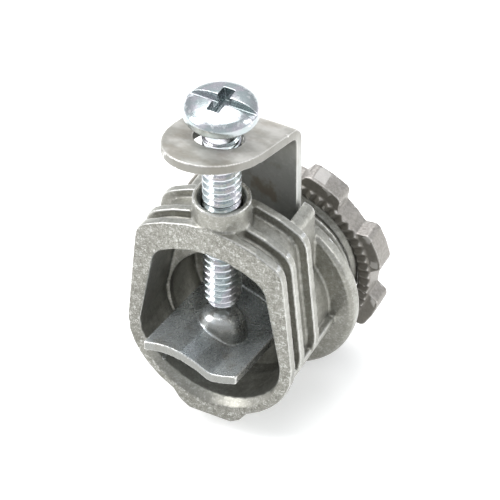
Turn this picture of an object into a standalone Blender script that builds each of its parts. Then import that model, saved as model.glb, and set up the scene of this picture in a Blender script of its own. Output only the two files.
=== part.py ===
"""A one-screw saddle-clamp connector that joins flexible metal conduit to a box.

Frame: the nipple axis is Y and points to the box, the clamp mouth faces -Y, and +Z is up along
the clamp screw. The origin is on the nipple axis, in the plane of the flange that seats on the box.
"""
import math

import bmesh
import bpy
from mathutils import Matrix, Vector

MM = 0.001
GAP = 0.35  # running clearance between pieces that slide past or rest near each other

# Body casting, millimetres
MOUTH_Y = -15.1  # front face of the clamp mouth
RIM_DEPTH = 1.3  # front rim along Y
ROOF_Z = 19.4  # top of the arch on the centre line
CHEEK_Z = 12.6  # where the rounded shoulder meets the side wall
CHEEK_X = 10.2  # half width there
WAIST_X = 11.3  # half width at the nipple axis, the widest place
BOWL_R = 10.9  # outer radius of the round bottom
GROOVE = 1.3  # how far the shell lies inside the ribs
RIB_T = 1.15
RIB_YS = (MOUTH_Y + 3.3, MOUTH_Y + 7.3)  # middles of the two ribs
RIB_BACK = RIB_YS[1] + RIB_T / 2
LEDGE_Z = -1.4  # rail along each side, where the ribs end
RIM_WIDTH = 1.9  # wall of the mouth at the bottom
CAVITY_ROOF = ROOF_Z - 4.1
CAVITY_CHEEK = (CHEEK_X - 2.45, CHEEK_Z - 1.6)
CAVITY_X = WAIST_X - 1.7
CAVITY_R = BOWL_R - RIM_WIDTH
CAVITY_BACK = RIB_BACK - 0.78  # where the clamp mouth narrows to the round barrel
LIP = 0.9  # bevel on the mouth's lower inner edge
BARREL_R, BARREL_WALL = 10.0, 0.9
CAVITY_END = -1.4
PAD_X, PAD_Z, PAD_LEN = 4.2, -BOWL_R - 1.1, 5.0  # small foot under the mouth
FLANGE_R, FLANGE_T = 13.4, 2.0
NIPPLE_R, NIPPLE_LEN, NIPPLE_WALL = 10.5, 10.0, 2.9
NIPPLE_PITCH = 1.814  # 14 threads to the inch
THREAD_DEPTH = 0.8
THREAD_GAP = 0.3  # radial clearance between nipple and locknut
THROAT_R = NIPPLE_R - NIPPLE_WALL

# Clamp screw
SCREW_R, SCREW_ROOT, NECK_R = 2.4, 1.85, 2.1
SCREW_GAP = 0.15  # radial clearance in the boss
SCREW_PITCH = 1.058  # 24 threads to the inch
HEAD_R, HEAD_H, HEAD_Z = 4.6, 2.6, 34.75
TIP_Z = 3.75
SLOT_W, SLOT_DEPTH = 1.2, 1.2
BOSS_R, BOSS_TOP = SCREW_R + SCREW_GAP + 1.05, ROOF_Z + 2.6
SCREW_Y = MOUTH_Y + BOSS_R + 0.16  # the boss stands just inside the mouth's front face

# Strap
STRAP_T = 1.35
STRAP_X = 5.95  # half width of tab and leg
LEG_Y = CAVITY_END - GAP  # back face of the leg
TAB_TILT = 0.38  # rise of the tab toward the front, per millimetre
TAB_Z = 31.65  # top of the tab on the screw axis
TAB_FRONT, TAB_ROUND = -21.4, 9.3  # front end and length of its elliptical rounding
BEND_R = 3.2
SADDLE_TILT = 0.2
SADDLE_X, SADDLE_FRONT = 6.35, -20.2
SADDLE_Z = 0.75  # top of the saddle under the screw, before its wave
PAD_TOP = TIP_Z - GAP
HOLE_RX, HOLE_RY, HOLE_Y = SCREW_R + 0.6, SCREW_R + 1.0, SCREW_Y - 0.66
SLOT_X, SLOT_Y0 = STRAP_X + GAP, RIB_BACK + 0.28  # opening in the roof for the strap
SHOULDER_X = SLOT_X + 1.6  # outer face of the walls beside the strap
SHOULDER_DROP = 2.0  # from the groove floor down to the crest of those walls

# Locknut
NUT_Y, NUT_T = 4.45, 2.9
NUT_BORE = NIPPLE_R + THREAD_GAP
NUT_ROOT, NUT_LUG = NUT_BORE + 1.85, NUT_BORE + 3.5
LUGS, LUG_PHASE, LUG_HALF = 8, 65.0, 11.0


def material(name, colour, roughness, metallic=1.0):
    mat = bpy.data.materials.new(name)
    mat.use_nodes = True
    bsdf = mat.node_tree.nodes["Principled BSDF"]
    bsdf.inputs["Base Color"].default_value = (*colour, 1.0)
    bsdf.inputs["Roughness"].default_value = roughness
    bsdf.inputs["Metallic"].default_value = metallic
    return mat


def make(name, verts, faces, mat=None, sharp=35.0):
    """A mesh object from millimetre points, with its faces turned outward."""
    mesh = bpy.data.meshes.new(name)
    mesh.from_pydata([Vector(v) * MM for v in verts], [], faces)
    bm = bmesh.new()
    bm.from_mesh(mesh)
    bmesh.ops.remove_doubles(bm, verts=bm.verts, dist=1e-7)
    bmesh.ops.recalc_face_normals(bm, faces=bm.faces)
    bm.to_mesh(mesh)
    bm.free()
    mesh.shade_smooth()
    mesh.set_sharp_from_angle(angle=math.radians(sharp))
    if mat:
        mesh.materials.append(mat)
    obj = bpy.data.objects.new(name, mesh)
    bpy.context.collection.objects.link(obj)
    return obj


def rings(name, loops, mat=None, closed=False):
    """A skin over loops of equal length, capped at both ends unless it closes on itself."""
    n = len(loops[0])
    verts = [p for loop in loops for p in loop]
    faces = []
    spans = len(loops) if closed else len(loops) - 1
    for i in range(spans):
        a, b = i * n, (i + 1) % len(loops) * n
        faces += [(a + k, a + (k + 1) % n, b + (k + 1) % n, b + k) for k in range(n)]
    if not closed:
        faces += [tuple(range(n))[::-1], tuple(range((len(loops) - 1) * n, len(loops) * n))]
    return make(name, verts, faces, mat)


def slab(name, outline, y0, y1, mat=None):
    """An (x, z) outline drawn out along Y."""
    return rings(name, [[(x, y, z) for x, z in outline] for y in (y0, y1)], mat)


def box(name, x0, x1, y0, y1, z0, z1):
    return slab(name, [(x0, z0), (x1, z0), (x1, z1), (x0, z1)], y0, y1)


def turned(name, profile, axis, centre, steps, mat=None):
    """A turned solid from (radius, height) pairs along axis 'Y' or 'Z' through centre."""
    loops = []
    for r, h in profile:
        loop = []
        for k in range(steps):
            a = 2 * math.pi * k / steps
            c, s = r * math.cos(a), r * math.sin(a)
            p = (c, h, s) if axis == "Y" else (c, s, h)
            loop.append(tuple(p[i] + centre[i] for i in range(3)))
        loops.append(loop)
    return rings(name, loops, mat)


def helix(name, axis, centre, start, turns, pitch, crest, root, steps, mat=None, taper=0.0):
    """A screw thread as one closed solid: a winding surface with a fan at each end."""
    profile = [(0.0, 0.0), (0.35, 1.0), (0.55, 1.0), (0.9, 0.0)]
    m, total = len(profile), turns * steps
    end = start + (turns + 1) * pitch

    def point(j, k):
        share, lift = profile[k]
        h = start + pitch * (j / steps + share)
        ramp = min(1.0, j / steps, (total - j) / steps)
        r = root + (crest - root) * lift * ramp
        if taper:
            r *= min(1.0, 0.72 + 0.28 * (h - start) / taper)
        a = 2 * math.pi * j / steps
        c, s = r * math.cos(a), r * math.sin(a)
        p = (c, h, -s) if axis == "Y" else (c, s, h)
        return tuple(p[i] + centre[i] for i in range(3))

    verts = [point(j, k) for j in range(total + 1) for k in range(m)]
    faces = []
    for j in range(total):
        for k in range(m - 1):
            a, b = j * m + k, (j + 1) * m + k
            faces.append((a, b, b + 1, a + 1))
        if j + steps <= total:
            a, b = j * m + m - 1, (j + 1) * m + m - 1
            c = (j + steps) * m
            if j + 1 + steps <= total:
                faces.append((a, b, c + m, c))
    low = [j * m for j in range(steps + 1)] + [k for k in range(m - 1, 0, -1)]
    high = [(total - steps + j) * m + m - 1 for j in range(steps + 1)]
    high += [total * m + k for k in range(m - 2, -1, -1)]
    for loop, h in ((low, start - 0.1 * pitch), (high, end + 0.1 * pitch)):
        tip = [centre[0], centre[1], centre[2]]
        tip["XYZ".index(axis)] += h
        verts.append(tuple(tip))
        t = len(verts) - 1
        faces += [(t, loop[i], loop[(i + 1) % len(loop)]) for i in range(len(loop))]
    return make(name, verts, faces, mat)


def combine(target, others, operation):
    """Boolean modifiers on target; the helper solids stay hidden and are not parts."""
    for other in others:
        other.hide_render = True
        other.display_type = "WIRE"
        mod = target.modifiers.new(f"{operation.lower()}_{other.name}", "BOOLEAN")
        mod.operation = operation
        mod.object = other
        mod.solver = "EXACT"


def arc(cx, cz, r, a0, a1, steps):
    """Points on a circle in the XZ plane, angles in degrees from +X."""
    out = []
    for k in range(steps + 1):
        a = math.radians(a0 + (a1 - a0) * k / steps)
        out.append((cx + r * math.cos(a), cz + r * math.sin(a)))
    return out


def fillet_path(points, steps=4):
    """A closed outline from (x, z, corner radius) triples, each corner rounded."""
    out = []
    n = len(points)
    for i, (x, z, r) in enumerate(points):
        if not r:
            out.append((x, z))
            continue
        p = Vector((x, z))
        a = (Vector(points[i - 1][:2]) - p).normalized()
        b = (Vector(points[(i + 1) % n][:2]) - p).normalized()
        half = math.acos(max(-1.0, min(1.0, a.dot(b)))) / 2
        centre = p + (a + b).normalized() * (r / math.sin(half))
        s, e = p + a * (r / math.tan(half)) - centre, p + b * (r / math.tan(half)) - centre
        turn = s.angle_signed(e)
        for k in range(steps + 1):
            v = Matrix.Rotation(-turn * k / steps, 2) @ s
            out.append(tuple(centre + v))
    return out


def arch(roof, cheek_x, cheek_z, waist_x, bowl_r, floor=None, crown=15.5):
    """The egg-shaped section: a low crown, round shoulders, tapered sides and a round bottom."""
    sag = crown - math.sqrt(crown * crown - (0.62 * cheek_x) ** 2)
    top = [(0.62 * cheek_x, roof - sag), (0.31 * cheek_x, roof - sag * 0.25), (0.0, roof)]
    shoulder = fillet_path(
        [(waist_x, 0.5, 0), (cheek_x, cheek_z, 0), (cheek_x - 0.35, roof - sag * 2.35, 3.0),
         (0.62 * cheek_x, roof - sag, 0), (0, -5, 0)], 5)[2:-2]
    right = [(waist_x, 0.5), (cheek_x, cheek_z)] + shoulder + top
    low = arc(0, 0, 1.0, -90, 0, 9)
    bowl = [(x * (bowl_r + (waist_x - bowl_r) * x ** 4), z * bowl_r) for x, z in low][:-1]
    if floor is not None:
        right = [(waist_x * 0.985, floor)] + [p for p in right if p[1] > floor + 0.4]
        bowl = []
    half = bowl + right
    left = [(-x, z) for x, z in reversed(half) if x > 1e-6]
    return half + left


def shoulder_wall(drop, side):
    """One side wall of the strap opening: an outline with a round crest under the roof."""
    crest = ROOF_Z - GROOVE - SHOULDER_DROP - drop
    out = SHOULDER_X - 0.4 * drop
    wall = fillet_path([(SLOT_X - 1.0, 7.0, 0), (out, 5.0, 0), (out, crest - 0.6, 1.2),
                        (SLOT_X - 1.0, crest + 0.3, 0)], 5)
    return [(side * x, z) for x, z in wall][::side]


def build_body(mat):
    outer = arch(ROOF_Z, CHEEK_X, CHEEK_Z, WAIST_X, BOWL_R)
    inset = (ROOF_Z - GROOVE, CHEEK_X - GROOVE, CHEEK_Z - 0.4, WAIST_X - GROOVE)
    body = slab("body", outer, MOUTH_Y, MOUTH_Y + RIM_DEPTH, mat)
    adds = [slab("shell_add", arch(*inset, BOWL_R - 0.6), MOUTH_Y + 0.5, RIB_YS[1] + 0.4)]
    adds.append(turned("barrel_add", [(BARREL_R, RIB_YS[1]), (BARREL_R, -FLANGE_T + 0.5)],
                       "Y", (0, 0, 0), 64))
    for side in (-1, 1):
        steps = [(-0.3, 1.6), (0.1, 1.0), (0.45, 0.45), (0.9, 0.12), (1.4, 0.0),
                 (-FLANGE_T + 0.2 - RIB_BACK, 0.0)]
        loops = [[(x, RIB_BACK + run, z) for x, z in shoulder_wall(drop, side)] for run, drop in steps]
        adds.append(rings(f"shoulder_add_{side + 1}", loops))
    for i, y in enumerate(RIB_YS):
        ribbed = arch(ROOF_Z, CHEEK_X, CHEEK_Z, WAIST_X, BOWL_R, floor=LEDGE_Z - 0.3)
        adds.append(slab(f"rib_add_{i}", ribbed, y - RIB_T / 2, y + RIB_T / 2))
    for side in (-1, 1):
        x0, x1 = sorted((side * 8.5, side * (WAIST_X - 0.45)))
        adds.append(box(f"ledge_add_{side + 1}", x0, x1, MOUTH_Y + 0.6, -0.7, LEDGE_Z - 1.0, LEDGE_Z))
    pad = [(-PAD_X, PAD_Z + 0.9), (-PAD_X + 1.3, PAD_Z), (PAD_X - 1.3, PAD_Z), (PAD_X, PAD_Z + 0.9),
           (PAD_X + 1.2, -9.2), (-PAD_X - 1.2, -9.2)]
    adds.append(slab("pad_add", pad, MOUTH_Y, MOUTH_Y + PAD_LEN))
    axis = (0.0, SCREW_Y, 0.0)
    boss = [(BOSS_R + 0.1, ROOF_Z - 2.9), (BOSS_R + 0.1, ROOF_Z - 0.4), (BOSS_R, ROOF_Z + 0.2),
            (BOSS_R, BOSS_TOP)]
    adds.append(turned("boss_add", boss, "Z", axis, 40))
    adds.append(turned("flange_add", [(FLANGE_R - 0.45, -FLANGE_T), (FLANGE_R, -FLANGE_T + 0.45),
                                      (FLANGE_R, -0.3), (FLANGE_R - 0.3, 0.0)], "Y", (0, 0, 0), 72))
    core = NIPPLE_R - THREAD_DEPTH + 0.05
    adds.append(turned("nipple_add", [(NIPPLE_R + 0.05, -0.6), (NIPPLE_R + 0.05, 0.35), (core, 0.75),
                                      (core, NIPPLE_LEN)], "Y", (0, 0, 0), 48))
    turns = int((NIPPLE_LEN - 0.6) / NIPPLE_PITCH) - 1
    adds.append(helix("nipple_thread_add", "Y", (0, 0, 0), 0.9, turns, NIPPLE_PITCH,
                      NIPPLE_R, NIPPLE_R - THREAD_DEPTH, 48))
    combine(body, adds, "UNION")
    hollow = arch(CAVITY_ROOF, *CAVITY_CHEEK, CAVITY_X, CAVITY_R, crown=11.5)
    cuts = [slab("cavity_cut", hollow, MOUTH_Y - 1, CAVITY_BACK)]
    lip = [(CAVITY_R + LIP, MOUTH_Y - 0.2), (CAVITY_R - 0.3, MOUTH_Y + 1.3 * LIP)]
    cuts.append(turned("lip_cut", lip, "Y", (0, 0, -0.25), 64))
    bore = BARREL_R - BARREL_WALL
    cuts.append(turned("throat_cut", [(bore, CAVITY_BACK - 1.0), (bore, CAVITY_END),
                                      (THROAT_R, CAVITY_END), (THROAT_R, NIPPLE_LEN + 1)],
                       "Y", (0, 0, 0), 64))
    cuts.append(box("slot_cut", -SLOT_X, SLOT_X, SLOT_Y0, CAVITY_END - 0.03, 5.0, BOSS_TOP + 1.0))
    cuts.append(turned("bore_cut", [(SCREW_R + SCREW_GAP, 10.0), (SCREW_R + SCREW_GAP, BOSS_TOP - 1.0),
                                    (SCREW_R + 0.75, BOSS_TOP + 0.2)], "Z", axis, 40))
    combine(body, cuts, "DIFFERENCE")
    return body


def tab_top(y):
    return TAB_Z - TAB_TILT * (y - SCREW_Y)


def saddle_top(y):
    return SADDLE_Z - SADDLE_TILT * (y - SCREW_Y)


def build_strap(mat):
    """Tab, bend, leg and saddle, formed from one plate."""
    lean = math.degrees(math.atan(TAB_TILT))
    drop = STRAP_T * math.hypot(1.0, TAB_TILT)
    mid_y = LEG_Y - BEND_R
    mid_z = tab_top(mid_y) - BEND_R * math.hypot(1.0, TAB_TILT)
    start = TAB_FRONT + TAB_ROUND
    foot_z = saddle_top(LEG_Y) - STRAP_T - 0.25
    # sections along the plate: half width, outer point and inner point in (y, z)
    sections = []
    for k in range(13):
        a = math.radians(4.0 + 86.0 * k / 12)
        y = start - TAB_ROUND * math.cos(a)
        sections.append((STRAP_X * math.sin(a), (y, tab_top(y)), (y, tab_top(y) - drop)))
    outside = arc(mid_y, mid_z, BEND_R, 90 - lean, 0, 8) + [(LEG_Y, foot_z)]
    inside = arc(mid_y, mid_z, BEND_R - STRAP_T, 90 - lean, 0, 8) + [(LEG_Y - STRAP_T, foot_z)]
    sections += [(STRAP_X, a, b) for a, b in zip(outside, inside)]
    strap = rings("clamp_strap", [[(w, *a), (w, *b), (-w, *b), (-w, *a)] for w, a, b in sections], mat)
    # saddle: a waved plate under the screw, with a raised foot for the tip
    wave = [(-1.0, 0.0), (-0.72, 0.42), (-0.47, 0.58), (-0.2, 0.34), (0.12, -0.4), (0.36, -1.3),
            (0.46, -1.45), (0.7, -1.1), (1.0, -0.4)]
    loops = []
    for y in (SADDLE_FRONT, LEG_Y - 0.3):
        upper = [(SADDLE_X * u, y, saddle_top(y) + w) for u, w in wave]
        lower = [(x, y2, z - STRAP_T) for x, y2, z in reversed(upper)]
        loops.append(upper + lower)
    saddle = rings("saddle_add", loops)
    foot = []
    low = SADDLE_Z - 1.2
    for k in range(7):
        a = math.radians(80.0 * k / 6)
        z = low + (PAD_TOP - low) * math.sin(a) / math.sin(math.radians(80))
        grow = math.cos(a) ** 0.6
        foot.append([(3.3 * grow * math.cos(b), SCREW_Y - 0.2 + 3.0 * grow * math.sin(b), z)
                     for b in (2 * math.pi * n / 28 for n in range(28))])
    combine(strap, [saddle, rings("foot_add", foot)], "UNION")
    hole = []
    for z in (20.0, 40.0):
        hole.append([(HOLE_RX * math.cos(2 * math.pi * k / 32),
                      HOLE_Y + HOLE_RY * math.sin(2 * math.pi * k / 32), z) for k in range(32)])
    combine(strap, [rings("hole_cut", hole)], "DIFFERENCE")
    return strap


def build_screw(mat):
    axis = (0.0, SCREW_Y, 0.0)
    turns = int((HEAD_Z - 2.2 - TIP_Z) / SCREW_PITCH)
    screw = helix("clamp_screw", "Z", axis, TIP_Z + 0.15, turns, SCREW_PITCH,
                  SCREW_R, SCREW_ROOT, 20, mat, taper=2.4)
    side = 1.0  # the rounded side of the head is widest here
    profile = [(NECK_R, HEAD_Z - 4.0), (NECK_R, HEAD_Z), (HEAD_R - 0.35, HEAD_Z),
               (HEAD_R, HEAD_Z + 0.4), (HEAD_R, HEAD_Z + side)]
    for k in range(1, 9):
        a = math.radians(90.0 * k / 9)
        profile.append((HEAD_R * math.cos(a) ** 0.66, HEAD_Z + side + (HEAD_H - side) * math.sin(a)))
    combine(screw, [turned("head_add", profile, "Z", axis, 48)], "UNION")
    top = HEAD_Z + HEAD_H
    cuts = [box("slot_tool", -6.0, 6.0, SCREW_Y - SLOT_W / 2, SCREW_Y + SLOT_W / 2,
                top - SLOT_DEPTH, top + 1.0)]
    wing = [(-0.85, top + 0.4), (0.85, top + 0.4), (0.55, top - 2.0), (-0.55, top - 2.0)]
    cuts.append(slab("cross_tool", wing, SCREW_Y - 2.2, SCREW_Y + 2.2))
    combine(screw, cuts, "DIFFERENCE")
    return screw


def build_locknut(mat):
    """A flat ring with eight lugs and a crown of teeth on the face toward the flange."""
    outline = []
    pitch = 360.0 / LUGS
    for i in range(LUGS):
        mid = LUG_PHASE - pitch * i
        for da, r in ((LUG_HALF + 3.0, NUT_ROOT), (LUG_HALF, NUT_LUG - 0.25),
                      (LUG_HALF - 2.5, NUT_LUG), (0.0, NUT_LUG), (-LUG_HALF + 2.5, NUT_LUG),
                      (-LUG_HALF, NUT_LUG - 0.25), (-LUG_HALF - 3.0, NUT_ROOT),
                      (-pitch / 2, NUT_ROOT)):
            a = math.radians(mid + da)
            outline.append((r * math.cos(a), r * math.sin(a)))
    nut = slab("locknut", outline, NUT_Y, NUT_Y + NUT_T, mat)
    teeth = []
    count = 60
    for k in range(count * 2):
        a = 2 * math.pi * k / (count * 2)
        y = NUT_Y - (0.45 if k % 2 else 0.02)
        teeth.append([(r * math.cos(a), yy, r * math.sin(a))
                      for r, yy in ((NUT_BORE + 0.4, y), (NUT_ROOT - 0.1, y),
                                    (NUT_ROOT - 0.1, NUT_Y + 0.6), (NUT_BORE + 0.4, NUT_Y + 0.6))])
    combine(nut, [rings("teeth_add", teeth, closed=True)], "UNION")
    combine(nut, [turned("thread_cut", [(NUT_BORE + 0.5, NUT_Y - 1.0), (NUT_BORE, NUT_Y + 0.3),
                                        (NUT_BORE, NUT_Y + NUT_T - 0.4),
                                        (NUT_BORE + 0.5, NUT_Y + NUT_T + 0.4)],
                         "Y", (0, 0, 0), 48)], "DIFFERENCE")
    return nut


def main():
    for obj in list(bpy.data.objects):
        bpy.data.objects.remove(obj, do_unlink=True)
    build_body(material("die_cast_zinc", (0.52, 0.51, 0.48), 0.42))
    build_strap(material("formed_steel", (0.36, 0.36, 0.35), 0.35))
    build_screw(material("zinc_plated_steel", (0.72, 0.74, 0.75), 0.22))
    build_locknut(material("locknut_zinc", (0.46, 0.44, 0.42), 0.45))


main()
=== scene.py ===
# %% [markdown]
# # A saddle-clamp connector for flexible conduit
# The real object joins a flexible metal conduit to a steel box. It is a zinc casting with a round
# threaded nipple, a bent steel strap, a clamp screw and a toothed locknut.
#
# Hard metal parts look right when three things are right: edges that are rounded as a mould or a
# press leaves them, surfaces with the grain of their making, and something soft to reflect.
# This lesson makes each piece as a precise solid first, then rounds it as one skin.

# %% Load the frame and keep its size
import math

import bmesh
import bpy
from mathutils import Matrix, Vector


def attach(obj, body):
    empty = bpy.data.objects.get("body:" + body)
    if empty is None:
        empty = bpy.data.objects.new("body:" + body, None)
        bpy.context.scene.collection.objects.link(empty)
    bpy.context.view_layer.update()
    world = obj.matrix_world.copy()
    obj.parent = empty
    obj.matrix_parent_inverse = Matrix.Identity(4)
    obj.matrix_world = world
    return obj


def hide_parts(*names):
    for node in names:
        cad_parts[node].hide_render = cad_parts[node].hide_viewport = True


MM = 0.001
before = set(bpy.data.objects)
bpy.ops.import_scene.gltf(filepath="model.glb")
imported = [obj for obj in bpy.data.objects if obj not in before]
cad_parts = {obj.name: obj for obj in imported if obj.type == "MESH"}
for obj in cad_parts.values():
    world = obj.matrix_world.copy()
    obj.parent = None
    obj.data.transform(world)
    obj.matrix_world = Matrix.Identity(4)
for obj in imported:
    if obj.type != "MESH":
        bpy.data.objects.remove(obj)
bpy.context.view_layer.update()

# %% [markdown]
# ## The camera
# A long lens from far away keeps the proportions of a small product. The camera is placed by two
# angles and a distance round a point inside the object, which is easier to reason about than a
# position and a rotation.

# %% Camera
TARGET = Vector((1.78, -7.41, 10.56)) * MM
AZIMUTH, ELEVATION = math.radians(26.86), math.radians(43.19)
DISTANCE = 483 * MM

away = Vector((math.sin(AZIMUTH) * math.cos(ELEVATION),
               -math.cos(AZIMUTH) * math.cos(ELEVATION),
               math.sin(ELEVATION)))
camera_data = bpy.data.cameras.new("camera")
camera_data.sensor_width = 36.0
camera_data.lens = 284.9
camera_data.clip_start = 0.01
camera = bpy.data.objects.new("camera", camera_data)
bpy.context.collection.objects.link(camera)
camera.location = TARGET + away * DISTANCE
camera.rotation_euler = (-away).to_track_quat("-Z", "Y").to_euler()
bpy.context.scene.camera = camera
print("camera at", tuple(round(v, 4) for v in camera.location))

# %% [markdown]
# ## Floor and light
# A small metal part is mostly a picture of its surroundings. A pale floor fills the faces that look
# down, a wide soft panel from above gives broad highlights, and a darker sky between them keeps
# the shapes readable.

# %% Floor
FLOOR_Z = -14.4 * MM
FLOOR_HALF = 2.0  # metres
corners = [(x * FLOOR_HALF, y * FLOOR_HALF, FLOOR_Z)
           for x, y in ((-1, -1), (1, -1), (1, 1), (-1, 1))]
floor_mesh = bpy.data.meshes.new("floor")
floor_mesh.from_pydata(corners, [], [(0, 1, 2, 3)])
floor = bpy.data.objects.new("floor", floor_mesh)
bpy.context.collection.objects.link(floor)
floor_paint = bpy.data.materials.new("floor_paint")
floor_paint.use_nodes = True
paint = floor_paint.node_tree.nodes["Principled BSDF"].inputs
paint["Base Color"].default_value = (0.93, 0.93, 0.92, 1.0)
paint["Roughness"].default_value = 0.9
paint["Emission Color"].default_value = (1.0, 1.0, 1.0, 1.0)
paint["Emission Strength"].default_value = 0.28
floor_mesh.materials.append(floor_paint)
print("floor at", FLOOR_Z)

# %% Light
world = bpy.data.worlds.new("studio")
bpy.context.scene.world = world
world.use_nodes = True
sky = world.node_tree.nodes["Background"].inputs
sky["Color"].default_value = (0.93, 0.96, 1.0, 1.0)
sky["Strength"].default_value = 0.75


def panel(name, place, size, power):
    """A soft white area light aimed at the object, with its place and size in metres."""
    data = bpy.data.lights.new(name, "AREA")
    data.shape = "RECTANGLE"
    data.size, data.size_y = size
    data.energy = power
    lamp = bpy.data.objects.new(name, data)
    bpy.context.collection.objects.link(lamp)
    lamp.location = place
    lamp.rotation_euler = (Vector(place) - TARGET).to_track_quat("Z", "Y").to_euler()
    print(name, power, "W")


panel("top_panel", (-0.15, 0.1, 0.75), (0.7, 0.7), 5.5)
panel("left_panel", (-0.6, -0.35, 0.45), (0.25, 0.6), 4.0)
panel("right_panel", (0.65, 0.25, 0.35), (0.12, 0.5), 1.2)
bpy.context.scene.view_settings.view_transform = "Standard"
bpy.context.scene.view_settings.look = "None"

# %% [markdown]
# ## Writing a finish as a formula
# A finish is a formula over the surface: grain plus stains, times wear. Blender draws formulas as
# nodes. A small class lets Python's own operators add those nodes, so that the formula can be read.

# %% Shader values as Python values
class Field:
    """A value that varies over a surface: one output socket of a node tree."""

    def __init__(self, tree, socket):
        self.tree, self.socket = tree, socket

    def math(self, operation, *others):
        made = add_node(self.tree, "ShaderNodeMath", {"operation": operation})
        for slot, value in zip(made.inputs, (self, *others)):
            feed(self.tree, slot, value)
        return Field(self.tree, made.outputs[0])

    def __add__(self, other):
        return self.math("ADD", other)

    def __sub__(self, other):
        return self.math("SUBTRACT", other)

    def __rsub__(self, other):
        return (self * -1.0) + other

    def __mul__(self, other):
        return self.math("MULTIPLY", other)

    __radd__, __rmul__ = __add__, __mul__

    def between(self, low, high):
        """0 below low, 1 above high, and a smooth rise between them."""
        made = add_node(self.tree, "ShaderNodeMapRange", {"interpolation_type": "SMOOTHSTEP"},
                        Value=self, From_Min=low, From_Max=high)
        return Field(self.tree, made.outputs["Result"])


def feed(tree, slot, value):
    """Links a Field to a socket, or sets the socket to a plain value."""
    if isinstance(value, Field):
        tree.links.new(value.socket, slot)
    else:
        slot.default_value = value


def add_node(tree, kind, settings=None, **inputs):
    """Adds a node, sets it up first, then feeds the inputs that are named."""
    made = tree.nodes.new(kind)
    for key, value in (settings or {}).items():
        setattr(made, key, value)
    for key, value in inputs.items():
        feed(tree, made.inputs[key.replace("_", " ")], value)
    return made


def blend_colours(mask, first, second):
    """The first colour where the mask is 0 and the second where it is 1."""
    tree = mask.tree
    made = add_node(tree, "ShaderNodeMix", {"data_type": "RGBA"})
    feed(tree, made.inputs[0], mask)
    for slot, colour in ((made.inputs[6], first), (made.inputs[7], second)):
        feed(tree, slot, colour if isinstance(colour, Field) else (*colour, 1.0))
    return Field(tree, made.outputs[2])


# %% [markdown]
# ## What every finish needs
# Wear, painted highlights and painted shade follow shape. Pointiness tells corners from hollows,
# the surface normal tells which way a face looks, and the object's own coordinates keep a stain in
# its place when the piece moves.

# %% A finish with its fields
class Finish:
    """A metal material with its place, facing, edge and noise fields at hand."""

    def __init__(self, name, metallic=1.0):
        self.material = bpy.data.materials.new(name)
        self.material.use_nodes = True
        self.tree = self.material.node_tree
        self.shader = self.tree.nodes["Principled BSDF"]
        self.shader.inputs["Metallic"].default_value = metallic
        place = add_node(self.tree, "ShaderNodeTexCoord")
        self.place = Field(self.tree, place.outputs["Object"])
        spots = add_node(self.tree, "ShaderNodeSeparateXYZ", Vector=self.place)
        self.x, self.y, self.z = (Field(self.tree, out) * 1000.0 for out in spots.outputs)
        shape = add_node(self.tree, "ShaderNodeNewGeometry")
        facing = add_node(self.tree, "ShaderNodeSeparateXYZ",
                          Vector=Field(self.tree, shape.outputs["Normal"]))
        self.face_x, self.face_y, self.face_z = (Field(self.tree, out) for out in facing.outputs)
        point = Field(self.tree, shape.outputs["Pointiness"])
        self.edge = point.between(0.515, 0.565)
        self.hollow = 1.0 - point.between(0.44, 0.495)

    def noise(self, size_mm, detail=3.0, rough=0.55, stretch=None):
        """Soft random values about 0.5, with features of the given size."""
        vector = self.place
        if stretch:
            moved = add_node(self.tree, "ShaderNodeVectorMath", {"operation": "MULTIPLY"})
            feed(self.tree, moved.inputs[0], self.place)
            moved.inputs[1].default_value = stretch
            vector = Field(self.tree, moved.outputs[0])
        made = add_node(self.tree, "ShaderNodeTexNoise", Vector=vector, Scale=1000.0 / size_mm,
                        Detail=detail, Roughness=rough)
        return Field(self.tree, made.outputs[0])

    def finish(self, colour, roughness, height, depth_mm):
        """Feeds the shader, with the height field as bumps of the given depth."""
        bump = add_node(self.tree, "ShaderNodeBump", Strength=1.0, Distance=depth_mm * MM,
                        Height=height)
        for slot, value in (("Base Color", colour), ("Roughness", roughness),
                            ("Normal", Field(self.tree, bump.outputs["Normal"]))):
            feed(self.tree, self.shader.inputs[slot], value)
        print("finish:", self.material.name)
        return self.material


# %% [markdown]
# ## Die-cast zinc
# Zinc fills a steel mould under pressure. Flat faces that meet the trimming tool come out dull and
# grainy, while thin ribs freeze first and keep a smooth skin. Corners are rubbed bright in the
# bin and are lightened further as a painted highlight, and hollows are painted dark as shade. Four
# darker tints are painted by place, not worn: on faces that look toward -Y, on the -X part of
# those, low on the body, and in a ring behind the mouth. They stand in for dark surroundings and
# for shade.

# %% Die-cast zinc: where each effect lies
zinc = Finish("die_cast_zinc", 0.85)
grain = zinc.noise(0.24, 5.0, 0.8) * 0.6 + zinc.noise(0.55, 3.0, 0.7) * 0.4
mottle = zinc.noise(2.4, 3.0)
front = 1.0 - zinc.face_y.between(-0.8, -0.3)
trimmed = (1.0 - zinc.y.between(-15.0, -14.9)) * (1.0 - zinc.face_y.between(-0.9, -0.7))
bore = 1.0 - (zinc.x * zinc.x + zinc.z * zinc.z).between(86, 96)
inside = zinc.y.between(-14.4, -13.0) * bore
step = zinc.y.between(-9.6, -9.0) * (1.0 - zinc.y.between(-7.4, -7.0)) * inside
# Painted highlight with some real rubbing: corners are lightened, but not on the trimmed front
# faces and hardly inside the mouth.
rubbed_and_highlit = zinc.edge * (1.0 - trimmed) * (1.0 - inside * 0.8)
print("fields of the casting: front, trimmed rim, bore, inside, step and rubbed corners")

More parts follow.
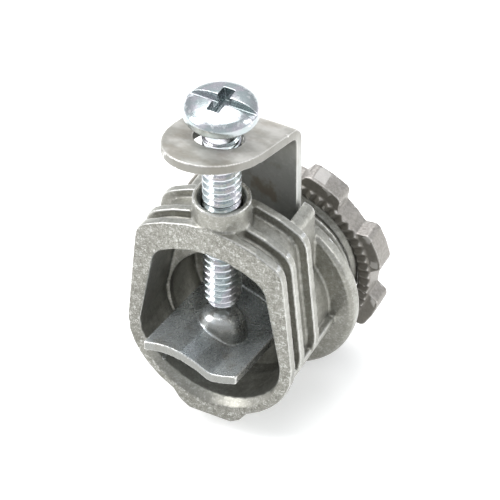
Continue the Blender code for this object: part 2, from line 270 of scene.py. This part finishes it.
# %% Die-cast zinc: colours, roughness and grain
DULL_ZINC, PALE_ZINC = (0.29, 0.285, 0.255), (0.46, 0.455, 0.415)
PIT, FLECK = (0.13, 0.125, 0.105), (0.68, 0.68, 0.65)
HOLLOW_SHADE, RUBBED_HIGHLIGHT_ZINC = (0.11, 0.105, 0.09), (0.78, 0.785, 0.77)
LOW_SHADE, FRONT_SHADE = (0.20, 0.195, 0.17), (0.21, 0.205, 0.18)
SIDE_SHADE, RING_SHADE = (0.11, 0.105, 0.09), (0.12, 0.115, 0.10)

skin = blend_colours((mottle - 0.5) * 2.2 + 0.5, DULL_ZINC, PALE_ZINC)
skin = blend_colours((1.0 - zinc.z.between(-13.0, 5.0)) * 0.35, skin, LOW_SHADE)
skin = blend_colours(front * 0.6, skin, FRONT_SHADE)
skin = blend_colours(front * (1.0 - zinc.x.between(-13.0, -5.0)) * 0.4, skin, SIDE_SHADE)
skin = blend_colours(step * 0.6, skin, RING_SHADE)
skin = blend_colours((1.0 - grain.between(0.4, 0.49)) * (0.35 + trimmed * 0.45), skin, PIT)
skin = blend_colours(grain.between(0.51, 0.6) * (0.3 + trimmed * 0.4), skin, FLECK)
# Painted shade: hollows are darkened almost to black.
skin = blend_colours(zinc.hollow * 0.7, skin, HOLLOW_SHADE)
# Painted highlight on the corners, partly real rubbing.
skin = blend_colours(rubbed_and_highlit * 0.75, skin, RUBBED_HIGHLIGHT_ZINC)
zinc_rough = (0.36 + (grain - 0.5) * 0.25 + trimmed * 0.16 + zinc.hollow * 0.15
              + rubbed_and_highlit * -0.12)
zinc_bump = grain * (0.5 + trimmed * 0.8) + zinc.noise(0.9) * 0.8
zinc_metal = zinc.finish(skin, zinc_rough, zinc_bump, 0.06)

# %% [markdown]
# ## Formed steel
# The strap is punched and bent from plate. It is duller than the screw, carries the tarnish of
# storage on its wide faces and a little rust on the leg. The sheared sides are dark, and the
# corners beside them are rubbed bright and lightened further as a painted highlight.

# %% Formed steel finish
DARK_STEEL, PALE_STEEL = (0.38, 0.365, 0.325), (0.60, 0.58, 0.54)
LEG_GREY, SADDLE_BLUE = (0.44, 0.46, 0.45), (0.58, 0.63, 0.66)
WORN_PALE = (0.72, 0.72, 0.70)
RUST, SHEARED, RUBBED_HIGHLIGHT_STEEL = (0.26, 0.205, 0.14), (0.17, 0.165, 0.145), (0.80, 0.79, 0.76)

steel = Finish("formed_steel", 0.75)
stain = steel.noise(3.4, 3.0, 0.5, (1.0, 1.0, 0.6))
rub = steel.noise(0.5, 3.0, 0.6)
rust = steel.noise(3.6, 4.0, 0.6, (1.0, 1.0, 0.7)).between(0.5, 0.64)
high = steel.z.between(22.0, 30.0)
low = 1.0 - steel.z.between(2.0, 9.0)
sheared = (high + low) * (1.0 - (steel.face_z * steel.face_z).between(0.08, 0.5))
plate = blend_colours(stain.between(0.36, 0.66), DARK_STEEL, PALE_STEEL)
plate = blend_colours((1.0 - high) * 0.6, plate, LEG_GREY)
plate = blend_colours(low * 0.6, plate, SADDLE_BLUE)
plate = blend_colours(rub.between(0.5, 0.7) * 0.2, plate, WORN_PALE)
plate = blend_colours(rust * (0.65 - high * 0.35 - low * 0.35), plate, RUST)
plate = blend_colours(sheared * 0.8, plate, SHEARED)
# Painted highlight on the corners, partly real rubbing: lighter where the surface turns sharply.
plate = blend_colours(steel.edge * 0.7, plate, RUBBED_HIGHLIGHT_STEEL)
steel_rough = 0.36 + (rub - 0.5) * 0.25 + high * 0.06 + low * -0.08 + steel.edge * -0.08
steel_metal = steel.finish(plate, steel_rough, rub * 0.4 + steel.noise(2.2, 1.0) * 1.2, 0.03)

# %% [markdown]
# ## Bright zinc plating
# The screw is steel with a thin shiny plating. It is nearly a mirror, with a faint blue and violet
# cast where the plating is passivated. A belt under the crown and the skirt of the head are
# painted darker, where a mirror would show dark surroundings. Hollows carry painted shade and
# edges a painted highlight.

# %% Plated screw finish
COOL_PLATING, VIOLET_PLATING = (0.50, 0.56, 0.57), (0.60, 0.59, 0.63)
BELT_SHADE, SKIRT_SHADE = (0.34, 0.37, 0.38), (0.36, 0.40, 0.40)
PLATING_HOLLOW_SHADE, PLATING_EDGE_HIGHLIGHT = (0.30, 0.33, 0.33), (0.86, 0.88, 0.88)

plating = Finish("zinc_plated_steel")
tint = plating.noise(1.7, 2.0)
bright = blend_colours(tint.between(0.4, 0.62), COOL_PLATING, VIOLET_PLATING)
belt = plating.z.between(36.3, 36.65) * (1.0 - plating.z.between(36.8, 37.15))
skirt = plating.z.between(34.6, 34.8) * (1.0 - plating.face_z.between(0.1, 0.5))
bright = blend_colours(belt * 0.55, bright, BELT_SHADE)
bright = blend_colours(skirt * 0.6, bright, SKIRT_SHADE)
# Painted shade: hollows such as thread roots and the slot are darkened.
bright = blend_colours(plating.hollow * 0.75, bright, PLATING_HOLLOW_SHADE)
# Painted highlight: edges and thread crests are lightened.
bright = blend_colours(plating.edge * 0.5, bright, PLATING_EDGE_HIGHLIGHT)
plate_rough = 0.25 + (plating.noise(0.4) - 0.5) * 0.16 + plating.hollow * 0.12
plated_metal = plating.finish(bright, plate_rough, plating.noise(0.5), 0.012)

# %% [markdown]
# ## Locknut casting
# The nut is cast as well, but left as it fell from the mould: matte and speckled on the lugs,
# and painted much darker on the toothed face, as the shade the teeth cast on each other. The
# sides that look along +X are painted darker too, in place of a dark wall beside the part. Its
# hollows carry painted shade and its edges a painted highlight.

# %% Locknut finish
DARK_SPECK, PALE_SPECK = (0.29, 0.27, 0.25), (0.48, 0.455, 0.43)
TOOTH_SHADE, WALL_SHADE = (0.15, 0.14, 0.118), (0.20, 0.19, 0.17)
NUT_HOLLOW_SHADE, NUT_EDGE_HIGHLIGHT = (0.12, 0.11, 0.095), (0.68, 0.66, 0.635)

cast = Finish("locknut_zinc", 0.85)
speck = cast.noise(0.4, 4.0, 0.7)
toothed = 1.0 - cast.face_y.between(-0.75, -0.35)
nut_skin = blend_colours(speck.between(0.3, 0.7), DARK_SPECK, PALE_SPECK)
nut_skin = blend_colours(toothed * 0.75, nut_skin, TOOTH_SHADE)
nut_skin = blend_colours(cast.face_x.between(0.1, 0.8) * 0.5, nut_skin, WALL_SHADE)
# Painted shade: hollows are darkened.
nut_skin = blend_colours(cast.hollow * 0.5, nut_skin, NUT_HOLLOW_SHADE)
# Painted highlight: edges are lightened.
nut_skin = blend_colours(cast.edge * 0.6, nut_skin, NUT_EDGE_HIGHLIGHT)
nut_metal = cast.finish(nut_skin, 0.44 + (speck - 0.5) * 0.3 + toothed * 0.1,
                        speck + cast.noise(1.1) * 0.6, 0.05)


# %% [markdown]
# ## Sizes
# Every size is named once, in millimetres, and each piece takes its own from this list.

# %% Sizes
GAP = 0.35  # running clearance between pieces that slide past or rest near each other

# Body casting, millimetres
MOUTH_Y = -15.1  # front face of the clamp mouth
RIM_DEPTH = 1.3  # front rim along Y
ROOF_Z = 19.4  # top of the arch on the centre line
CHEEK_Z = 12.6  # where the rounded shoulder meets the side wall
CHEEK_X = 10.2  # half width there
WAIST_X = 11.3  # half width at the nipple axis, the widest place
BOWL_R = 10.9  # outer radius of the round bottom
GROOVE = 1.3  # how far the shell lies inside the ribs
RIB_T = 1.15
RIB_YS = (MOUTH_Y + 3.3, MOUTH_Y + 7.3)  # middles of the two ribs
RIB_BACK = RIB_YS[1] + RIB_T / 2
LEDGE_Z = -1.4  # rail along each side, where the ribs end
RIM_WIDTH = 1.9  # wall of the mouth at the bottom
CAVITY_ROOF = ROOF_Z - 4.1
CAVITY_CHEEK = (CHEEK_X - 2.45, CHEEK_Z - 1.6)
CAVITY_X = WAIST_X - 1.7
CAVITY_R = BOWL_R - RIM_WIDTH
CAVITY_BACK = RIB_BACK - 0.78  # where the clamp mouth narrows to the round barrel
LIP = 0.9  # bevel on the mouth's lower inner edge
BARREL_R, BARREL_WALL = 10.0, 0.9
CAVITY_END = -1.4
PAD_X, PAD_Z, PAD_LEN = 4.2, -BOWL_R - 1.1, 5.0  # small foot under the mouth
FLANGE_R, FLANGE_T = 13.4, 2.0
NIPPLE_R, NIPPLE_LEN, NIPPLE_WALL = 10.5, 10.0, 2.9
NIPPLE_PITCH = 1.814  # 14 threads to the inch
THREAD_DEPTH = 0.8
THREAD_GAP = 0.3  # radial clearance between nipple and locknut
THROAT_R = NIPPLE_R - NIPPLE_WALL

# Clamp screw
SCREW_R, SCREW_ROOT, NECK_R = 2.4, 1.85, 2.1
SCREW_GAP = 0.15  # radial clearance in the boss
SCREW_PITCH = 1.058  # 24 threads to the inch
HEAD_R, HEAD_H, HEAD_Z = 4.6, 2.6, 34.75
TIP_Z = 3.75
SLOT_W, SLOT_DEPTH = 1.2, 1.2
BOSS_R, BOSS_TOP = SCREW_R + SCREW_GAP + 1.05, ROOF_Z + 2.6
SCREW_Y = MOUTH_Y + BOSS_R + 0.16  # the boss stands just inside the mouth's front face

# Strap
STRAP_T = 1.35
STRAP_X = 5.95  # half width of tab and leg
LEG_Y = CAVITY_END - GAP  # back face of the leg
TAB_TILT = 0.38  # rise of the tab toward the front, per millimetre
TAB_Z = 31.65  # top of the tab on the screw axis
TAB_FRONT, TAB_ROUND = -21.4, 9.3  # front end and length of its elliptical rounding
BEND_R = 3.2
SADDLE_TILT = 0.2
SADDLE_X, SADDLE_FRONT = 6.35, -20.2
SADDLE_Z = 0.75  # top of the saddle under the screw, before its wave
PAD_TOP = TIP_Z - GAP
HOLE_RX, HOLE_RY, HOLE_Y = SCREW_R + 0.6, SCREW_R + 1.0, SCREW_Y - 0.66
SLOT_X, SLOT_Y0 = STRAP_X + GAP, RIB_BACK + 0.28  # opening in the roof for the strap
SHOULDER_X = SLOT_X + 1.6  # outer face of the walls beside the strap
SHOULDER_DROP = 2.0  # from the groove floor down to the crest of those walls

# Locknut
NUT_Y, NUT_T = 4.45, 2.9
NUT_BORE = NIPPLE_R + THREAD_GAP
NUT_ROOT, NUT_LUG = NUT_BORE + 1.85, NUT_BORE + 3.5
LUGS, LUG_PHASE, LUG_HALF = 8, 65.0, 11.0  # phase and half width of a lug in degrees
print("mouth at", MOUTH_Y, "roof at", ROOF_Z, "nut outside radius", NUT_LUG)

# %% [markdown]
# ## Helpers for solids
# Nearly everything here is a stack of loops: the same outline repeated along an axis, or circles of
# changing radius. One function skins loops, and the others only compute them.

# %% Helpers
def make(name, verts, faces, mat=None):
    """A mesh object from millimetre points, with its faces turned outward."""
    mesh = bpy.data.meshes.new(name)
    mesh.from_pydata([Vector(v) * MM for v in verts], [], faces)
    bm = bmesh.new()
    bm.from_mesh(mesh)
    bmesh.ops.remove_doubles(bm, verts=bm.verts, dist=1e-7)
    bmesh.ops.recalc_face_normals(bm, faces=bm.faces)
    bm.to_mesh(mesh)
    bm.free()
    if mat:
        mesh.materials.append(mat)
    obj = bpy.data.objects.new(name, mesh)
    bpy.context.collection.objects.link(obj)
    return obj


def rings(name, loops, mat=None, closed=False):
    """A skin over loops of equal length, capped at both ends unless it closes on itself."""
    n = len(loops[0])
    verts = [p for loop in loops for p in loop]
    faces = []
    spans = len(loops) if closed else len(loops) - 1
    for i in range(spans):
        a, b = i * n, (i + 1) % len(loops) * n
        faces += [(a + k, a + (k + 1) % n, b + (k + 1) % n, b + k) for k in range(n)]
    if not closed:
        faces += [tuple(range(n))[::-1], tuple(range((len(loops) - 1) * n, len(loops) * n))]
    return make(name, verts, faces, mat)


def slab(name, outline, y0, y1, mat=None):
    """An (x, z) outline drawn out along Y."""
    return rings(name, [[(x, y, z) for x, z in outline] for y in (y0, y1)], mat)


def box(name, x0, x1, y0, y1, z0, z1):
    return slab(name, [(x0, z0), (x1, z0), (x1, z1), (x0, z1)], y0, y1)


def turned(name, profile, axis, centre, steps, mat=None):
    """A turned solid from (radius, height) pairs along axis 'Y' or 'Z' through centre."""
    loops = []
    for r, h in profile:
        loop = []
        for k in range(steps):
            a = 2 * math.pi * k / steps
            c, s = r * math.cos(a), r * math.sin(a)
            p = (c, h, s) if axis == "Y" else (c, s, h)
            loop.append(tuple(p[i] + centre[i] for i in range(3)))
        loops.append(loop)
    return rings(name, loops, mat)


def helix(name, axis, centre, start, turns, pitch, crest, root, steps, mat=None, taper=0.0):
    """A screw thread as one closed solid: a winding surface with a fan at each end."""
    profile = [(0.0, 0.0), (0.35, 1.0), (0.55, 1.0), (0.9, 0.0)]
    m, total = len(profile), turns * steps
    end = start + (turns + 1) * pitch

    def point(j, k):
        share, lift = profile[k]
        h = start + pitch * (j / steps + share)
        ramp = min(1.0, j / steps, (total - j) / steps)
        r = root + (crest - root) * lift * ramp
        if taper:
            r *= min(1.0, 0.72 + 0.28 * (h - start) / taper)
        a = 2 * math.pi * j / steps
        c, s = r * math.cos(a), r * math.sin(a)
        p = (c, h, -s) if axis == "Y" else (c, s, h)
        return tuple(p[i] + centre[i] for i in range(3))

    verts = [point(j, k) for j in range(total + 1) for k in range(m)]
    faces = []
    for j in range(total):
        for k in range(m - 1):
            a, b = j * m + k, (j + 1) * m + k
            faces.append((a, b, b + 1, a + 1))
        if j + steps <= total:
            a, b = j * m + m - 1, (j + 1) * m + m - 1
            c = (j + steps) * m
            if j + 1 + steps <= total:
                faces.append((a, b, c + m, c))
    low = [j * m for j in range(steps + 1)] + [k for k in range(m - 1, 0, -1)]
    high = [(total - steps + j) * m + m - 1 for j in range(steps + 1)]
    high += [total * m + k for k in range(m - 2, -1, -1)]
    for loop, h in ((low, start - 0.1 * pitch), (high, end + 0.1 * pitch)):
        tip = [centre[0], centre[1], centre[2]]
        tip["XYZ".index(axis)] += h
        verts.append(tuple(tip))
        t = len(verts) - 1
        faces += [(t, loop[i], loop[(i + 1) % len(loop)]) for i in range(len(loop))]
    return make(name, verts, faces, mat)


def combine(target, others, operation):
    """Boolean modifiers on target; the helper solids stay hidden and are not parts."""
    for other in others:
        other.hide_render = True
        other.display_type = "WIRE"
        mod = target.modifiers.new(f"{operation.lower()}_{other.name}", "BOOLEAN")
        mod.operation = operation
        mod.object = other
        mod.solver = "EXACT"


def arc(cx, cz, r, a0, a1, steps):
    """Points on a circle in the XZ plane, angles in degrees from +X."""
    out = []
    for k in range(steps + 1):
        a = math.radians(a0 + (a1 - a0) * k / steps)
        out.append((cx + r * math.cos(a), cz + r * math.sin(a)))
    return out


def fillet_path(points, steps=4):
    """A closed outline from (x, z, corner radius) triples, each corner rounded."""
    out = []
    n = len(points)
    for i, (x, z, r) in enumerate(points):
        if not r:
            out.append((x, z))
            continue
        p = Vector((x, z))
        a = (Vector(points[i - 1][:2]) - p).normalized()
        b = (Vector(points[(i + 1) % n][:2]) - p).normalized()
        half = math.acos(max(-1.0, min(1.0, a.dot(b)))) / 2
        centre = p + (a + b).normalized() * (r / math.sin(half))
        s, e = p + a * (r / math.tan(half)) - centre, p + b * (r / math.tan(half)) - centre
        turn = s.angle_signed(e)
        for k in range(steps + 1):
            v = Matrix.Rotation(-turn * k / steps, 2) @ s
            out.append(tuple(centre + v))
    return out


def arch(roof, cheek_x, cheek_z, waist_x, bowl_r, floor=None, crown=15.5):
    """The egg-shaped section: a low crown, round shoulders, tapered sides and a round bottom."""
    sag = crown - math.sqrt(crown * crown - (0.62 * cheek_x) ** 2)
    top = [(0.62 * cheek_x, roof - sag), (0.31 * cheek_x, roof - sag * 0.25), (0.0, roof)]
    shoulder = fillet_path(
        [(waist_x, 0.5, 0), (cheek_x, cheek_z, 0), (cheek_x - 0.35, roof - sag * 2.35, 3.0),
         (0.62 * cheek_x, roof - sag, 0), (0, -5, 0)], 5)[2:-2]
    right = [(waist_x, 0.5), (cheek_x, cheek_z)] + shoulder + top
    low = arc(0, 0, 1.0, -90, 0, 9)
    bowl = [(x * (bowl_r + (waist_x - bowl_r) * x ** 4), z * bowl_r) for x, z in low][:-1]
    if floor is not None:
        right = [(waist_x * 0.985, floor)] + [p for p in right if p[1] > floor + 0.4]
        bowl = []
    half = bowl + right
    left = [(-x, z) for x, z in reversed(half) if x > 1e-6]
    return half + left


def shoulder_wall(drop, side):
    """One side wall of the strap opening: an outline with a round crest under the roof."""
    crest = ROOF_Z - GROOVE - SHOULDER_DROP - drop
    out = SHOULDER_X - 0.4 * drop
    wall = fillet_path([(SLOT_X - 1.0, 7.0, 0), (out, 5.0, 0), (out, crest - 0.6, 1.2),
                        (SLOT_X - 1.0, crest + 0.3, 0)], 5)
    return [(side * x, z) for x, z in wall][::side]


# %% [markdown]
# ## The body casting
# The mouth is an egg-shaped frame with two ribs behind it, all from one outline. A round barrel
# leads to the flange and the threaded nipple. Cutting the cavity last keeps the walls even.

# %% Body: what is joined
ORIGIN = (0.0, 0.0, 0.0)
SCREW_AXIS = (0.0, SCREW_Y, 0.0)
OUTLINE = (ROOF_Z, CHEEK_X, CHEEK_Z, WAIST_X, BOWL_R)


def body_solids():
    """Shell, barrel, walls, ribs, rails, pad, boss, flange and nipple."""
    inset = (ROOF_Z - GROOVE, CHEEK_X - GROOVE, CHEEK_Z - 0.4, WAIST_X - GROOVE)
    adds = [slab("shell_add", arch(*inset, BOWL_R - 0.6), MOUTH_Y + 0.5, RIB_YS[1] + 0.4)]
    adds.append(turned("barrel_add", [(BARREL_R, RIB_YS[1]), (BARREL_R, -FLANGE_T + 0.5)],
                       "Y", ORIGIN, 64))
    for side in (-1, 1):
        # how far behind the last rib, and how much lower the crest is there
        steps = [(-0.3, 1.6), (0.1, 1.0), (0.45, 0.45), (0.9, 0.12), (1.4, 0.0),
                 (-FLANGE_T + 0.2 - RIB_BACK, 0.0)]
        loops = [[(x, RIB_BACK + run, z) for x, z in shoulder_wall(drop, side)]
                 for run, drop in steps]
        adds.append(rings(f"shoulder_add_{side + 1}", loops))
    for i, y in enumerate(RIB_YS):
        ribbed = arch(*OUTLINE, floor=LEDGE_Z - 0.3)
        adds.append(slab(f"rib_add_{i}", ribbed, y - RIB_T / 2, y + RIB_T / 2))
    for side in (-1, 1):
        x0, x1 = sorted((side * 8.5, side * (WAIST_X - 0.45)))
        adds.append(box(f"ledge_add_{side + 1}", x0, x1, MOUTH_Y + 0.6, -0.7,
                        LEDGE_Z - 1.0, LEDGE_Z))
    pad = [(-PAD_X, PAD_Z + 0.9), (-PAD_X + 1.3, PAD_Z), (PAD_X - 1.3, PAD_Z), (PAD_X, PAD_Z + 0.9),
           (PAD_X + 1.2, -9.2), (-PAD_X - 1.2, -9.2)]
    adds.append(slab("pad_add", pad, MOUTH_Y, MOUTH_Y + PAD_LEN))
    boss = [(BOSS_R + 0.1, ROOF_Z - 2.9), (BOSS_R + 0.1, ROOF_Z - 0.4), (BOSS_R, ROOF_Z + 0.2),
            (BOSS_R, BOSS_TOP)]
    adds.append(turned("boss_add", boss, "Z", SCREW_AXIS, 40))
    flange = [(FLANGE_R - 0.45, -FLANGE_T), (FLANGE_R, -FLANGE_T + 0.45), (FLANGE_R, -0.3),
              (FLANGE_R - 0.3, 0.0)]
    adds.append(turned("flange_add", flange, "Y", ORIGIN, 72))
    core = NIPPLE_R - THREAD_DEPTH + 0.05
    collar = NIPPLE_R + 0.05  # a plain root, so that no thread hangs over the flange
    nipple = [(collar, -0.6), (collar, 0.35), (core, 0.75), (core, NIPPLE_LEN)]
    adds.append(turned("nipple_add", nipple, "Y", ORIGIN, 48))
    turns = int((NIPPLE_LEN - 0.6) / NIPPLE_PITCH) - 1
    adds.append(helix("nipple_thread_add", "Y", ORIGIN, 0.9, turns, NIPPLE_PITCH,
                      NIPPLE_R, NIPPLE_R - THREAD_DEPTH, 48))
    return adds


# %% Body: what is cut away
def body_hollows():
    """Cavity, lip, throat, opening for the strap and the screw's bore."""
    hollow = arch(CAVITY_ROOF, *CAVITY_CHEEK, CAVITY_X, CAVITY_R, crown=11.5)
    cuts = [slab("cavity_cut", hollow, MOUTH_Y - 1, CAVITY_BACK)]
    lip = [(CAVITY_R + LIP, MOUTH_Y - 0.2), (CAVITY_R - 0.3, MOUTH_Y + 1.3 * LIP)]
    cuts.append(turned("lip_cut", lip, "Y", (0, 0, -0.25), 64))
    barrel_bore = BARREL_R - BARREL_WALL
    throat = [(barrel_bore, CAVITY_BACK - 1.0), (barrel_bore, CAVITY_END),
              (THROAT_R, CAVITY_END), (THROAT_R, NIPPLE_LEN + 1)]
    cuts.append(turned("throat_cut", throat, "Y", ORIGIN, 64))
    cuts.append(box("slot_cut", -SLOT_X, SLOT_X, SLOT_Y0, CAVITY_END - 0.03, 5.0, BOSS_TOP + 1.0))
    hole_r = SCREW_R + SCREW_GAP
    hole = [(hole_r, 10.0), (hole_r, BOSS_TOP - 1.0), (SCREW_R + 0.75, BOSS_TOP + 0.2)]
    cuts.append(turned("bore_cut", hole, "Z", SCREW_AXIS, 40))
    return cuts


def build_body(mat):
    body = slab("body", arch(*OUTLINE), MOUTH_Y, MOUTH_Y + RIM_DEPTH, mat)
    combine(body, body_solids(), "UNION")
    combine(body, body_hollows(), "DIFFERENCE")
    return body


# %% [markdown]
# ## The strap
# One bent plate: tab, leg and saddle. Its side view is followed by a chain of sections, so the
# bend keeps the plate's thickness.

# %% Strap
def tab_top(y):
    return TAB_Z - TAB_TILT * (y - SCREW_Y)


def saddle_top(y):
    return SADDLE_Z - SADDLE_TILT * (y - SCREW_Y)


def build_strap(mat):
    """Tab, bend, leg and saddle, formed from one plate."""
    lean = math.degrees(math.atan(TAB_TILT))
    drop = STRAP_T * math.hypot(1.0, TAB_TILT)
    mid_y = LEG_Y - BEND_R
    mid_z = tab_top(mid_y) - BEND_R * math.hypot(1.0, TAB_TILT)
    start = TAB_FRONT + TAB_ROUND
    foot_z = saddle_top(LEG_Y) - STRAP_T - 0.25
    # sections along the plate: half width, outer point and inner point in (y, z)
    sections = []
    for k in range(13):
        a = math.radians(4.0 + 86.0 * k / 12)
        y = start - TAB_ROUND * math.cos(a)
        sections.append((STRAP_X * math.sin(a), (y, tab_top(y)), (y, tab_top(y) - drop)))
    outside = arc(mid_y, mid_z, BEND_R, 90 - lean, 0, 8) + [(LEG_Y, foot_z)]
    inside = arc(mid_y, mid_z, BEND_R - STRAP_T, 90 - lean, 0, 8) + [(LEG_Y - STRAP_T, foot_z)]
    sections += [(STRAP_X, a, b) for a, b in zip(outside, inside)]
    loops = [[(w, *a), (w, *b), (-w, *b), (-w, *a)] for w, a, b in sections]
    strap = rings("clamp_strap", loops, mat)
    # saddle: a waved plate under the screw, as (share of the half width, rise), with a raised foot
    wave = [(-1.0, 0.0), (-0.72, 0.42), (-0.47, 0.58), (-0.2, 0.34), (0.12, -0.4), (0.36, -1.3),
            (0.46, -1.45), (0.7, -1.1), (1.0, -0.4)]
    loops = []
    for y in (SADDLE_FRONT, LEG_Y - 0.3):
        upper = [(SADDLE_X * u, y, saddle_top(y) + w) for u, w in wave]
        lower = [(x, y2, z - STRAP_T) for x, y2, z in reversed(upper)]
        loops.append(upper + lower)
    saddle = rings("saddle_add", loops)
    foot = []
    low = SADDLE_Z - 1.2
    for k in range(7):
        a = math.radians(80.0 * k / 6)
        z = low + (PAD_TOP - low) * math.sin(a) / math.sin(math.radians(80))
        grow = math.cos(a) ** 0.6
        foot.append([(3.3 * grow * math.cos(b), SCREW_Y - 0.2 + 3.0 * grow * math.sin(b), z)
                     for b in (2 * math.pi * n / 28 for n in range(28))])
    combine(strap, [saddle, rings("foot_add", foot)], "UNION")
    hole = []
    for z in (20.0, 40.0):
        hole.append([(HOLE_RX * math.cos(2 * math.pi * k / 32),
                      HOLE_Y + HOLE_RY * math.sin(2 * math.pi * k / 32), z) for k in range(32)])
    combine(strap, [rings("hole_cut", hole)], "DIFFERENCE")
    return strap


# %% [markdown]
# ## The screw
# A thread is a winding surface. Each turn joins the next, and a fan closes each end.

# %% Screw
CROWN_POWER = 0.66  # below 1 the crown is flatter, with fuller shoulders


def build_screw(mat):
    turns = int((HEAD_Z - 2.2 - TIP_Z) / SCREW_PITCH)
    screw = helix("clamp_screw", "Z", SCREW_AXIS, TIP_Z + 0.15, turns, SCREW_PITCH,
                  SCREW_R, SCREW_ROOT, 20, mat, taper=2.4)
    side = 1.0  # the rounded side of the head is widest here
    profile = [(NECK_R, HEAD_Z - 4.0), (NECK_R, HEAD_Z), (HEAD_R - 0.35, HEAD_Z),
               (HEAD_R, HEAD_Z + 0.4), (HEAD_R, HEAD_Z + side)]
    for k in range(1, 9):
        a = math.radians(90.0 * k / 9)
        profile.append((HEAD_R * math.cos(a) ** CROWN_POWER,
                        HEAD_Z + side + (HEAD_H - side) * math.sin(a)))
    combine(screw, [turned("head_add", profile, "Z", SCREW_AXIS, 48)], "UNION")
    top = HEAD_Z + HEAD_H
    cuts = [box("slot_tool", -6.0, 6.0, SCREW_Y - SLOT_W / 2, SCREW_Y + SLOT_W / 2,
                top - SLOT_DEPTH, top + 1.0)]
    wing = [(-0.85, top + 0.4), (0.85, top + 0.4), (0.55, top - 2.0), (-0.55, top - 2.0)]
    cuts.append(slab("cross_tool", wing, SCREW_Y - 2.2, SCREW_Y + 2.2))
    combine(screw, cuts, "DIFFERENCE")
    return screw


# %% [markdown]
# ## The locknut
# Lugs are arcs at two radii. The teeth are a zigzag ring pressed into the face.

# %% Locknut
TEETH = 60


def build_locknut(mat):
    """A flat ring with eight lugs and a crown of teeth on the face toward the flange."""
    outline = []
    pitch = 360.0 / LUGS
    for i in range(LUGS):
        mid = LUG_PHASE - pitch * i
        for da, r in ((LUG_HALF + 3.0, NUT_ROOT), (LUG_HALF, NUT_LUG - 0.25),
                      (LUG_HALF - 2.5, NUT_LUG), (0.0, NUT_LUG), (-LUG_HALF + 2.5, NUT_LUG),
                      (-LUG_HALF, NUT_LUG - 0.25), (-LUG_HALF - 3.0, NUT_ROOT),
                      (-pitch / 2, NUT_ROOT)):
            a = math.radians(mid + da)
            outline.append((r * math.cos(a), r * math.sin(a)))
    nut = slab("locknut", outline, NUT_Y, NUT_Y + NUT_T, mat)
    teeth = []
    near, far, root = NUT_BORE + 0.4, NUT_ROOT - 0.1, NUT_Y + 0.6
    for k in range(TEETH * 2):
        a = 2 * math.pi * k / (TEETH * 2)
        tip = NUT_Y - (0.45 if k % 2 else 0.02)
        teeth.append([(r * math.cos(a), y, r * math.sin(a))
                      for r, y in ((near, tip), (far, tip), (far, root), (near, root))])
    combine(nut, [rings("teeth_add", teeth, closed=True)], "UNION")
    bore = [(NUT_BORE + 0.5, NUT_Y - 1.0), (NUT_BORE, NUT_Y + 0.3),
            (NUT_BORE, NUT_Y + NUT_T - 0.4), (NUT_BORE + 0.5, NUT_Y + NUT_T + 0.4)]
    combine(nut, [turned("thread_cut", bore, "Y", ORIGIN, 48)], "DIFFERENCE")
    return nut


# %% [markdown]
# ## From sharp solid to cast skin
# A sharp solid looks like a drawing. Real metal has small radii everywhere. Wrapping the solid in
# a fine even skin and relaxing that skin a little rounds every edge at once, inner corners too,
# which a bevel on a cut solid often fails at. Screw and nut are thinned again afterwards. Casting
# and strap stay dense, because thinning leaves scaly patches in the wear and painted highlight
# along their corners.


def rounded(solid, name, voxel_mm, passes, keep):
    """Cuts a solid, wraps it in an even skin, relaxes it and keeps a share of its faces."""
    skin = solid.modifiers.new("skin", "REMESH")
    skin.mode = "VOXEL"
    skin.voxel_size = voxel_mm * MM * 1.0
    skin.use_smooth_shade = True
    relax = solid.modifiers.new("relax", "SMOOTH")
    relax.factor, relax.iterations = 0.5, passes
    thin = solid.modifiers.new("thin", "DECIMATE")
    thin.ratio = keep
    graph = bpy.context.evaluated_depsgraph_get()
    mesh = bpy.data.meshes.new_from_object(solid.evaluated_get(graph))
    mesh.name = name
    mesh.shade_smooth()
    helpers = [m.object for m in solid.modifiers if m.type == "BOOLEAN"] + [solid]
    for helper in helpers:
        bpy.data.objects.remove(helper, do_unlink=True)
    piece = bpy.data.objects.new(name, mesh)
    bpy.context.collection.objects.link(piece)
    print(name, len(mesh.polygons), "faces")
    return piece


# %% Make the pieces
casting = rounded(build_body(zinc_metal), "body_casting", 0.17, 4, 1.0)
bent_strap = rounded(build_strap(steel_metal), "bent_strap", 0.16, 4, 1.0)
pan_screw = rounded(build_screw(plated_metal), "pan_screw", 0.08, 2, 0.5)
ring_nut = rounded(build_locknut(nut_metal), "ring_nut", 0.14, 3, 0.5)

# %% Hand the pieces to the frame
for piece, node, finish in ((casting, "body", "die_cast_zinc"),
                            (bent_strap, "clamp_strap", "formed_steel"),
                            (pan_screw, "clamp_screw", "zinc_plated_steel"),
                            (ring_nut, "locknut", "locknut_zinc")):
    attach(piece, node)
    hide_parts(node)
    print(piece.name, "rides", node)
